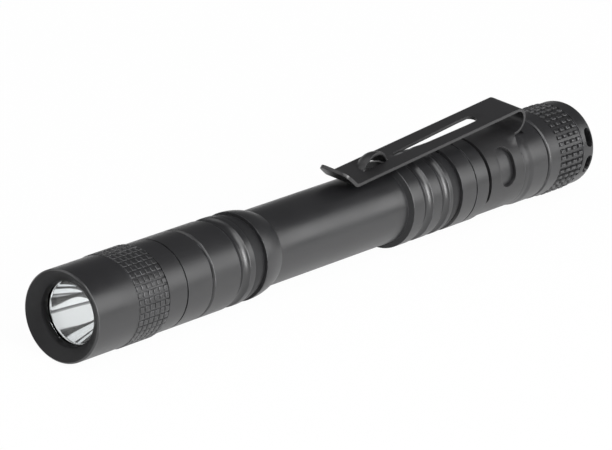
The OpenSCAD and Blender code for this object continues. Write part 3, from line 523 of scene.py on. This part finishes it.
# One half of the blank's outline from the band's front edge to the tip, then its mirror image
half_blank = [(-BAND_LEN + NOTCH, 0.0), (-BAND_LEN + NOTCH, NOTCH_HALF - 0.6)]
half_blank += arc(-BAND_LEN + NOTCH - 0.5, NOTCH_HALF - 0.55, 0.5, 0, 90, 6)
half_blank += arc(-BAND_LEN + 0.35, NOTCH_HALF + 0.3, 0.35, 270, 180, 5)
half_blank += arc(-BAND_LEN + 0.8, BAND_HALF - 0.8, 0.8, 180, 90, 6)
half_blank += arc(-0.8, BAND_HALF - 0.8, 0.8, 90, 0, 6)
half_blank += arc(0.9, HALF_W + 0.9, 0.9, 180, 270, 8)
half_blank += arc(TIP - 1.8, HALF_W - 1.8, 1.8, 90, 0, 10) + [(TIP, 0.0)]
outlines = [half_blank + [(s, -w) for s, w in reversed(half_blank[1:-1])]]
for side in (1, -1):
    window_w = sorted(side * BAND_R * math.radians(turn) for turn in WINDOW_TURNS)
    outlines.append(long_slot(*WINDOW_S, *window_w))
outlines.append(arc(SLOT_FRONT, 0, SLOT_FRONT_R, -90, 90, 14) + arc(SLOT_REAR, 0, SLOT_REAR_R, 90, 270, 14))
outlines.append([(HOOD_S + s, HOOD_W + w) for s, w in (
    (-HOOD_R, -0.02), (-SLIT, 0.06), (SLIT, 0.06), (HOOD_R, -0.02), (SLIT, -0.06), (-SLIT, -0.06))])

blank = new_shape()
for outline in outlines:
    points = [blank.verts.new((s, w, 0)) for s, w in outline]
    for a, b in zip(points, points[1:] + points[:1]):
        blank.edges.new((a, b))
bmesh.ops.triangle_fill(blank, edges=blank.edges[:], use_beauty=True, use_dissolve=False)
for edge in blank.edges:
    edge.seam = len(edge.link_faces) == 2

# Lines on which the blank is divided so that it can bend: band, foot, bend, arm, hood, crease, tip
s_lines = [-10.3 + 0.6 * i for i in range(14)] + [-2.2 + 0.2 * i for i in range(16)]
s_lines += [FOOT + BEND_LEN * i / 28 for i in range(29)]
s_lines += [ARM_START + 3.0 * i for i in range(1, 11)]
s_lines += [HOOD_S - 3.6 + 0.3 * i for i in range(25)]
s_lines += [ARM_END + CREASE_LEN * i / 8 for i in range(9)]
s_lines += [ARM_END + CREASE_LEN + 1.5 * i for i in range(1, 4)]
w_lines = [BAND_HALF * i / 50 for i in range(-49, 50)] + [HOOD_W - 3.45 + 0.3 * i for i in range(12)]
for normal, lines in (((1, 0, 0), s_lines), ((0, 1, 0), w_lines)):
    for line in lines:
        bmesh.ops.bisect_plane(blank, geom=blank.verts[:] + blank.edges[:] + blank.faces[:], dist=1e-5,
                               plane_co=(line, line, 0), plane_no=normal)
bmesh.ops.dissolve_edges(blank, edges=[e for e in blank.edges if e.seam and len(e.link_faces) == 2],
                         use_verts=True)
bmesh.ops.recalc_face_normals(blank, faces=blank.faces[:])
bmesh.ops.solidify(blank, geom=blank.faces[:], thickness=SHEET)
middle = (max(v.co.z for v in blank.verts) + min(v.co.z for v in blank.verts)) / 2
bmesh.ops.translate(blank, vec=(0, 0, -middle), verts=blank.verts[:])
bmesh.ops.recalc_face_normals(blank, faces=blank.faces[:])
break_edges(blank, [e for e in blank.edges if len(e.link_faces) == 2 and e.calc_face_angle() > 1.2
                    and abs(e.verts[0].co.z - e.verts[1].co.z) < 1e-4], 0.09)
for vert in blank.verts:
    vert.co = bent(*vert.co)
bmesh.ops.recalc_face_normals(blank, faces=blank.faces[:])
clip = piece("pocket_clip", blank, clip_steel, corner=50)
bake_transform(clip, "barrel", "clip", start=(-0.0470, 0, 0.0160), end=(-0.04682, 0, 0.01829))
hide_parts("clip_band", "clip_arm")

# ---------------------------------------------------------------- Pill, driver and front contact
# A turned brass pill screws into the head as heat sink. The driver board is pressed into its
# rear with its parts inwards, and a plated spring on the board meets the front cell.

brass = finish("turned_brass", (0.50, 0.33, 0.12), (0.60, 0.42, 0.17), rough=(0.24, 0.36),
               bump=0.3, depth=0.01, line_share=0.8, metallic=1.0)
refinish(brass, "pill")
board_mask = finish("green_board", (0.006, 0.055, 0.022), (0.010, 0.085, 0.034), rough=(0.22, 0.34),
                    bump=0.25, depth=0.02, line_share=0.0, grain=2600.0, clouds=900.0)
refinish(board_mask, "driver_board")
parts_black = finish("moulded_parts", (0.018, 0.018, 0.019), (0.035, 0.035, 0.036), rough=(0.4, 0.6),
                     bump=0.4, depth=0.015, line_share=0.0, grain=7000.0)
refinish(parts_black, "driver_parts")
plated = finish("plated_spring", (0.62, 0.48, 0.22), (0.70, 0.56, 0.28), rough=(0.16, 0.26),
                bump=0.15, depth=0.01, line_share=0.2, metallic=1.0)


def coil(station, length, first, last, turns, wire, steps=28):
    """A round wire wound from a first to a last radius over a length, ends included."""
    bm = new_shape()
    start = station + wire / 2
    rise = length - wire
    facing = Matrix.Translation(at(start, first)) @ Matrix.Rotation(math.pi / 2, 4, "X")
    bmesh.ops.create_circle(bm, cap_ends=True, segments=10, radius=wire / 2000, matrix=facing)
    total = int(steps * turns)
    bmesh.ops.spin(bm, geom=bm.edges[:], cent=at(0, 0), axis=(1, 0, 0), dvec=(-rise / total / 1000, 0, 0),
                   angle=2 * math.pi * turns, steps=total)
    bmesh.ops.holes_fill(bm, edges=[e for e in bm.edges if e.is_boundary])
    for vert in bm.verts:
        s, r, turn = where(vert.co)
        vert.co = at(s, r + (last - first) * min(max((s - start) / rise, 0), 1), turn)
    bmesh.ops.recalc_face_normals(bm, faces=bm.faces[:])
    return bm


WIDE_END, SMALL_END, CONTACT_TURNS, CONTACT_WIRE = 3.1, 1.9, 3.5, 0.6  # of both contact springs
DRIVER_REAR = 21.5
front_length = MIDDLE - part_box("front_contact_spring")[0].x * 1000 - DRIVER_REAR
front_coil = coil(DRIVER_REAR, front_length, WIDE_END, SMALL_END, CONTACT_TURNS, CONTACT_WIRE)
front_spring = piece("front_contact_coil", front_coil, plated)
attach(front_spring, "light_engine")
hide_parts("front_contact_spring")

# ---------------------------------------------------------------- Emitter, its board and gasket
# A ceramic emitter with a yellow phosphor die under a clear silicone dome is soldered on an
# aluminium board. A white moulded gasket centres it in the hole of the reflector.

board_metal = finish("board_metal", (0.55, 0.56, 0.57), (0.68, 0.69, 0.70), rough=(0.28, 0.4),
                     bump=0.2, depth=0.01, line_share=0.0, metallic=1.0)
refinish(board_metal, "led_board")
white_moulded = finish("white_moulding", (0.70, 0.70, 0.68), (0.80, 0.80, 0.78), rough=(0.35, 0.5),
                       bump=0.3, depth=0.015, line_share=0.0, grain=6000.0)
refinish(white_moulded, "led_gasket")
ceramic = finish("emitter_ceramic", (0.78, 0.78, 0.76), (0.86, 0.86, 0.84), rough=(0.3, 0.45),
                 bump=0.2, depth=0.01, line_share=0.0, grain=9000.0)
phosphor = finish("emitter_phosphor", (0.80, 0.62, 0.06), (0.88, 0.72, 0.12), rough=(0.5, 0.65),
                  bump=0.4, depth=0.01, line_share=0.0, grain=22000.0)

CERAMIC_SIDE, CERAMIC_DEPTH, DIE_MARGIN = 3.45, 0.7, 0.95
base = block(11.95, 0, CERAMIC_DEPTH, CERAMIC_SIDE, CERAMIC_SIDE)
break_edges(base, base.edges[:], 0.08)
die = max(base.faces, key=lambda f: f.calc_center_median().x)
bmesh.ops.inset_region(base, faces=[die], thickness=DIE_MARGIN / 1000, depth=0.0)
die.material_index = 1
emitter_base = piece("emitter_base", base, ceramic, phosphor, corner=60)
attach(emitter_base, "light_engine")
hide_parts("led_emitter")


def clear(name, tint, ior, haze_scale, haze_detail, haze_span, rough):
    """A clear solid with a faint haze in its gloss."""
    made = bpy.data.materials.new(name)
    made.use_nodes = True
    nodes, link = made.node_tree.nodes, made.node_tree.links.new
    shader = nodes["Principled BSDF"]
    shader.inputs["Base Color"].default_value = (*tint, 1)
    shader.inputs["Transmission Weight"].default_value = 1.0
    shader.inputs["IOR"].default_value = ior
    place, haze = nodes.new("ShaderNodeTexCoord"), nodes.new("ShaderNodeTexNoise")
    haze.inputs["Scale"].default_value, haze.inputs["Detail"].default_value = haze_scale, haze_detail
    gloss = spread(nodes, haze_span, rough)
    link(place.outputs["Object"], haze.inputs["Vector"])
    link(haze.outputs["Fac"], gloss.inputs["Value"])
    link(gloss.outputs["Result"], shader.inputs["Roughness"])
    return made


silicone = clear("clear_dome", (0.97, 0.97, 0.95), 1.41, 900.0, 2.0, (0.0, 1.0), (0.02, 0.08))
QUARTER = [math.pi / 2 * i / 10 for i in range(11)]  # turns of a quarter circle
DOME_FOOT, DOME_R, DOME_RISE = 11.59, 1.2, 1.19
dome_outline = [(DOME_FOOT, 0.0), (DOME_FOOT, DOME_R)]
dome_outline += [(DOME_FOOT - DOME_RISE * math.sin(a), DOME_R * math.cos(a)) for a in QUARTER[1:]]
dome = piece("emitter_dome", turned(dome_outline, 40, closed=False), silicone)
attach(dome, "light_engine")

# ---------------------------------------------------------------- Reflector
# A parabolic bowl turned from aluminium and vacuum-coated to a mirror, its flange clamped
# between the lens and the emitter's gasket. Fine turning rings remain under the coating.

mirror = finish("mirror_coating", (0.88, 0.89, 0.90), (0.93, 0.935, 0.94), rough=(0.035, 0.075),
                bump=0.10, depth=0.004, line_share=0.7, grain=3000.0, lines=2600.0, metallic=1.0)
FOCUS, VERTEX = 0.793, 12.1  # focal length of the bowl, station of its vertex
BOWL_HOLE, BOWL_SPREAD = 1.7, 3.4  # radius of the emitter's hole, and from there to the mouth
FLANGE, BOWL_REAR = 5.75, 11.5
bowl_outline = [(3.9, FLANGE), (4.8, FLANGE), (4.8, 5.3), (BOWL_REAR, 4.5), (BOWL_REAR, BOWL_HOLE)]
bowl_outline += [(VERTEX - r * r / (4 * FOCUS), r)
                 for r in (BOWL_HOLE + BOWL_SPREAD * i / 36 for i in range(37))]
bowl_shape = turned(bowl_outline, 120)
break_edges(bowl_shape, turned_corners(bowl_shape, 35), 0.06)
bowl = piece("reflector_bowl", bowl_shape, mirror)
even_shading(bowl)
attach(bowl, "light_engine")
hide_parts("reflector")

# ---------------------------------------------------------------- Head
# Turned from the same bar as the barrel: dished bezel, smooth front, a grip of square studs left
# between milled cuts, and two plain rings parted by fine lines. It screws over the front neck.

HEAD_FRONT, HEAD_FLOOR, HEAD_CREST = 7.48, 7.44, 7.6  # radii of the smooth front and of the grip
HEAD_STEPS = 210  # divisions of a turn, five to a stud
HEAD_GRIP, HEAD_ROW, HEAD_STUD = 9.9, 1.22, 1.0  # where the grip starts, its rows' pitch and studs' length
NECK_BORE, THREAD_BORE, LENS_BORE = 6.53, 6.03, 5.83
head_rows = [(HEAD_GRIP + HEAD_ROW * row, HEAD_GRIP + HEAD_ROW * row + HEAD_STUD) for row in range(6)]
head_outline = [(1.5, 5.35), (0.0, 7.18), (0.3, HEAD_FRONT), (9.78, HEAD_FRONT), (9.85, HEAD_FLOOR)]
head_outline += [(s, HEAD_FLOOR) for row in head_rows for s in row]
head_outline += [(17.0, 7.10), (17.35, 7.10), (17.35, RING)]
head_outline += square_groove(21.5, *FINE_LINE)
head_outline += [(27.75, RING), (28.05, RING_END), (28.05, NECK_BORE), (21.5, NECK_BORE), (21.5, THREAD_BORE)]
head_outline += [(13.3, THREAD_BORE), (13.3, LENS_BORE), (2.25, LENS_BORE), (2.25, 5.05)]
head_shape = turned(head_outline, HEAD_STEPS)
break_edges(head_shape, turned_corners(head_shape), EDGE)


def raise_studs(bm, rows, floor, steps, pitch, width, crest, slope, rounding):
    """Raises square studs, one to a pitch of steps and some steps wide, from the floor of a grip."""
    wide = []
    for face in bm.faces:
        s, r, turn = where(face.calc_center_median())
        index = int(math.floor((turn + 2 * math.pi) / (2 * math.pi) * steps)) % pitch
        on_floor = abs(r - floor) < 0.02 and abs(face.normal.x) < 0.1
        if index < width and on_floor and any(a < s < b for a, b in rows):
            wide.append(face)
    bmesh.ops.inset_region(bm, faces=wide, use_boundary=True, use_even_offset=True,
                           thickness=slope / 1000, depth=(crest - floor) / 1000)
    tops = set(wide)
    rims = [e for e in bm.edges if len(e.link_faces) == 2 and sum(face in tops for face in e.link_faces) == 1]
    break_edges(bm, rims, rounding)


raise_studs(head_shape, head_rows, HEAD_FLOOR, HEAD_STEPS, pitch=5, width=4, crest=HEAD_CREST,
            slope=0.06, rounding=0.07)
# The bezel's dish gets the darker copy of the finish as painted shade
paint_shade_faces(head_shape, lambda station, radius: station < 2.3 and radius < 7.2)  # the dish
head = piece("turned_head", head_shape, anodised, shaded_anodised)
even_shading(head)
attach(head, "head")
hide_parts("head_shell")

# ---------------------------------------------------------------- Lens and its seal
# A disc of clear glass with broken edges, pressed by the reflector against a flat rubber seal
# behind the bezel.

refinish(rubber, "lens_seal")
glass = clear("clear_glass", (0.98, 0.99, 0.985), 1.48, 260.0, 4.0, (0.45, 0.8), (0.0, 0.03))
LENS_FRONT, LENS_REAR, LENS_R, LENS_EDGE = 2.7, 3.9, 5.75, 0.15
lens_outline = [(LENS_FRONT, 0.0), (LENS_FRONT, LENS_R - LENS_EDGE), (LENS_FRONT + LENS_EDGE, LENS_R),
                (LENS_REAR - LENS_EDGE, LENS_R), (LENS_REAR, LENS_R - LENS_EDGE), (LENS_REAR, 0.0)]
lens = piece("front_lens", turned(lens_outline, 96, closed=False), glass, corner=30)
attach(lens, "head")
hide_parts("lens")

# ---------------------------------------------------------------- Switch
# A moulded housing on a round board, held in the tail cap by a brass ring. A white plunger on a
# small steel spring stands in it, and a plated spring on the board meets the rear cell.

switch_plastic = finish("switch_moulding", (0.020, 0.020, 0.021), (0.032, 0.032, 0.033), rough=(0.35, 0.5),
                        bump=0.35, depth=0.015, line_share=0.0, grain=6000.0)
refinish(switch_plastic, "switch_housing")
refinish(board_mask, "switch_board")
refinish(brass, "switch_retaining_ring")
refinish(white_moulded, "switch_plunger")

tail_low, tail_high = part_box("tail_contact_spring")
tail_coil = coil(MIDDLE - tail_high.x * 1000, (tail_high.x - tail_low.x) * 1000,
                 SMALL_END, WIDE_END, CONTACT_TURNS, CONTACT_WIRE)
tail_spring = piece("tail_contact_coil", tail_coil, plated)
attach(tail_spring, "switch_module")
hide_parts("tail_contact_spring")

spring_steel = finish("spring_wire", (0.42, 0.43, 0.44), (0.52, 0.53, 0.54), rough=(0.18, 0.28),
                      bump=0.15, depth=0.01, line_share=0.2, metallic=1.0)
PLUNGER_SEAT, PLUNGER_SPAN, PLUNGER_COIL, PLUNGER_TURNS, PLUNGER_WIRE = 122.1, 3.1, 2.2, 3.5, 0.45
plunger_coil = coil(PLUNGER_SEAT, PLUNGER_SPAN, PLUNGER_COIL, PLUNGER_COIL, PLUNGER_TURNS, PLUNGER_WIRE)
plunger_spring = piece("plunger_spring", plunger_coil, spring_steel)
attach(plunger_spring, "switch_module")
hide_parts("switch_return_spring")
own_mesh(plunger_spring)

# ---------------------------------------------------------------- Boot
# A button of black silicone rubber, moulded with a flange that the cap's inner lip clamps. Its
# thin dome gives way over the plunger.

BOOT_R, BOOT_TOP, BOOT_EDGE, BOOT_WALL = 3.95, 132.4, 1.6, 0.8
FLANGE_FRONT, FLANGE_REAR, FLANGE_R = 127.1, 128.1, 6.45
INNER_R, INNER_TOP, INNER_EDGE = BOOT_R - BOOT_WALL, BOOT_TOP - BOOT_WALL, BOOT_EDGE - BOOT_WALL / 2
boot_outline = [(BOOT_TOP, 0.0)]
boot_outline += [(BOOT_TOP - BOOT_EDGE * (1 - math.cos(a)), BOOT_R - BOOT_EDGE * (1 - math.sin(a)))
                 for a in QUARTER]
boot_outline += [(s, BOOT_R) for s in (130.4, 130.0, 129.6, 129.2, 128.8, 128.4, FLANGE_REAR)]
boot_outline += [(FLANGE_REAR, FLANGE_R), (FLANGE_FRONT, FLANGE_R)]
boot_outline += [(s, INNER_R) for s in (FLANGE_FRONT, 127.6, 128.1, 128.5, 128.9, 129.3, 129.7, 130.1)]
boot_outline += [(INNER_TOP - INNER_EDGE * (1 - math.cos(a)), INNER_R - INNER_EDGE * (1 - math.sin(a)))
                 for a in reversed(QUARTER)]
boot_outline += [(INNER_TOP, 0.0)]
boot = piece("rubber_boot", turned(boot_outline, 96, closed=False), rubber, corner=50)
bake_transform(boot, "switch_module", "button", start=at(128.3, 0), end=at(130.9, 0))
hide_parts("switch_boot")

# ---------------------------------------------------------------- Tail cap
# Turned and anodised as the barrel, with a grip of larger studs, a rounded rear edge round the
# button, an inner lip, and two slots milled through the skirt for a cord. It screws on the rear neck.

CAP, TAIL_FLOOR, TAIL_CREST = 7.45, 7.2, 7.645  # radii of the cap's ends and of its grip
TAIL_STEPS = 190  # divisions of a turn, five to a stud
TAIL_GRIP, TAIL_ROW, TAIL_STUD = 123.15, 1.71, 1.2  # where the grip starts, its rows' pitch and studs' length
TAIL_END, TAIL_ROUND = 133.35, 0.9
RECESS, LIP, LIP_REAR, LIP_FRONT = 5.6, 4.2, 129.1, 128.1
tail_rows = [(TAIL_GRIP + TAIL_ROW * row, TAIL_GRIP + TAIL_ROW * row + TAIL_STUD) for row in range(4)]
tail_outline = [(119.7, NECK_BORE), (119.7, 7.2), (120.0, CAP), (122.98, CAP), (122.98, TAIL_FLOOR)]
tail_outline += [(s, TAIL_FLOOR) for row in tail_rows for s in row]
tail_outline += [(129.82, TAIL_FLOOR), (129.82, CAP)]
tail_outline += [(TAIL_END - TAIL_ROUND * (1 - math.sin(a)), CAP - TAIL_ROUND * (1 - math.cos(a)))
                 for a in QUARTER]
tail_outline += [(TAIL_END, RECESS), (LIP_REAR, RECESS), (LIP_REAR, LIP), (LIP_FRONT, LIP)]
tail_outline += [(LIP_FRONT, NECK_BORE)]
tail_shape = turned(tail_outline, TAIL_STEPS)
break_edges(tail_shape, turned_corners(tail_shape), 0.08)

CORD_STATION, CORD_HALF_W, CORD_HALF_LEN = 131.85, 0.8, 1.6
CORD_LEVELS = ((5.05, 0.0), (7.12, 0.0), (7.52, 0.3), (8.8, 0.3))  # radius, and the slot's easing there
cord_slots, middle = new_shape(), at(CORD_STATION, 0)
for turn in (math.radians(62.7), math.radians(101.0)):
    rise, across = Vector((0, math.sin(turn), math.cos(turn))), Vector((0, math.cos(turn), -math.sin(turn)))
    rings = []
    for reach, ease in CORD_LEVELS:
        half_w, half_len = CORD_HALF_W + ease, CORD_HALF_LEN + ease
        outline = long_slot(-half_w, half_w, -half_len, half_len)
        points = [cord_slots.verts.new(middle + (Vector((-s, 0, 0)) + reach * rise + w * across) / 1000)
                  for s, w in outline]
        rings.append([cord_slots.edges.new(pair) for pair in zip(points, points[1:] + points[:1])])
    for low, high in zip(rings, rings[1:]):
        bmesh.ops.bridge_loops(cord_slots, edges=low + high)
bmesh.ops.holes_fill(cord_slots, edges=[e for e in cord_slots.edges if e.is_boundary])
bmesh.ops.recalc_face_normals(cord_slots, faces=cord_slots.faces[:])
tail_shape = carve(tail_shape, cord_slots)
raise_studs(tail_shape, tail_rows, TAIL_FLOOR, TAIL_STEPS, pitch=5, width=3, crest=TAIL_CREST,
            slope=0.12, rounding=0.12)
tail_cap = piece("turned_tail_cap", tail_shape, anodised)
even_shading(tail_cap)
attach(tail_cap, "tail_cap")
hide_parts("tail_cap")

# ---------------------------------------------------------------- Table, light and camera
# A table of white card that the camera sees as white and the metal mirrors dimmer, four soft lamps
# round it in a dim room, and a long lens in front of the head and above it.

TABLE_DROP = 0.00002  # keeps the card clear of the light's underside, m
CARD_SEEN, CARD_MIRRORED = 0.97, 0.36  # how white the card is to the camera and in gloss
bpy.ops.mesh.primitive_circle_add(vertices=96, radius=5.0, fill_type="NGON", location=(0, 0, -TABLE_DROP))
table = bpy.context.object
table.name = "white_table"
card = bpy.data.materials.new("white_card")
card.use_nodes = True
card_nodes, card_link = card.node_tree.nodes, card.node_tree.links.new
card_shader = card_nodes["Principled BSDF"]
card_shader.inputs["Base Color"].default_value = (0.92, 0.92, 0.92, 1)
card_shader.inputs["Roughness"].default_value = 0.9
card_shader.inputs["Specular IOR Level"].default_value = 0.0
glow = card_nodes.new("ShaderNodeEmission")
glow.inputs["Strength"].default_value = 1.0
path = card_nodes.new("ShaderNodeLightPath")
seen, direct, mirrored, share = (card_nodes.new("ShaderNodeMath") for _ in range(4))
seen.operation = share.operation = "MAXIMUM"
direct.operation = mirrored.operation = "MULTIPLY"
direct.inputs[1].default_value, mirrored.inputs[1].default_value = CARD_SEEN, CARD_MIRRORED
card_link(path.outputs["Is Camera Ray"], seen.inputs[0])
card_link(path.outputs["Is Transmission Ray"], seen.inputs[1])
card_link(seen.outputs[0], direct.inputs[0])
card_link(path.outputs["Is Glossy Ray"], mirrored.inputs[0])
card_link(direct.outputs[0], share.inputs[0])
card_link(mirrored.outputs[0], share.inputs[1])
mixed = card_nodes.new("ShaderNodeMixShader")
card_link(share.outputs[0], mixed.inputs["Fac"])
card_link(card_shader.outputs["BSDF"], mixed.inputs[1])
card_link(glow.outputs["Emission"], mixed.inputs[2])
card_link(mixed.outputs["Shader"], card_nodes["Material Output"].inputs["Surface"])
table.data.materials.append(card)

# The room is palest at the horizon and dims upwards
ROOM_TONES = ((0.0, (0.42, 0.42, 0.42, 1)), (0.24, (0.12, 0.12, 0.123, 1)))
room = bpy.data.worlds.new("studio_room")
bpy.context.scene.world = room
room.use_nodes = True
room_nodes, room_link = room.node_tree.nodes, room.node_tree.links.new
sky = room_nodes["Background"]
direction, height = room_nodes.new("ShaderNodeTexCoord"), room_nodes.new("ShaderNodeSeparateXYZ")
room_link(direction.outputs["Generated"], height.inputs[0])
dim = room_nodes.new("ShaderNodeValToRGB")
dim.color_ramp.interpolation = "EASE"
for stop, (spot, tone) in zip(dim.color_ramp.elements, ROOM_TONES):
    stop.position, stop.color = spot, tone
room_link(height.outputs["Z"], dim.inputs["Fac"])
room_link(dim.outputs["Color"], sky.inputs["Color"])
sky.inputs["Strength"].default_value = 1.0


def soft_lamp(name, place, aim, width, height, watts):
    """A rectangular soft lamp that points at a spot; places and sizes in metres."""
    light = bpy.data.lights.new(name, "AREA")
    light.shape, light.size, light.size_y, light.energy = "RECTANGLE", width, height, watts
    lamp = bpy.data.objects.new(name, light)
    lamp.location = place
    lamp.rotation_euler = (Vector(aim) - Vector(place)).to_track_quat("-Z", "Y").to_euler()
    bpy.context.scene.collection.objects.link(lamp)


soft_lamp("front_softbox", (0.30, 0.45, 0.80), (0, 0, 0), 0.8, 0.8, 5.0)
soft_lamp("side_softbox", (0.02, 0.95, 0.42), (0, 0, 0), 0.45, 0.6, 9.0)
soft_lamp("far_softbox", (0.55, -0.62, 0.62), (0.06, 0, 0), 1.3, 0.75, 3.2)
soft_lamp("rear_softbox", (-0.88, 0.75, 0.46), (0, 0, 0), 0.6, 0.6, 2.5)

# The lens's place and its right, up and back directions, fitted to the object's outlines
CAMERA_PLACE = (0.55937, 0.39034, 0.27545)
CAMERA_AXES = ((-0.61322, 0.77869, 0.13267), (-0.21421, -0.32559, 0.92092), (0.76031, 0.53631, 0.36647))
view = bpy.data.cameras.new("long_lens")
view.sensor_width, view.lens = 36.0, 263.5
view.clip_start, view.clip_end = 0.01, 50.0
camera = bpy.data.objects.new("long_lens", view)
camera.matrix_world = Matrix.Translation(CAMERA_PLACE) @ Matrix(CAMERA_AXES).transposed().to_4x4()
bpy.context.scene.collection.objects.link(camera)
bpy.context.scene.camera = camera
bpy.context.scene.view_settings.view_transform = "Standard"
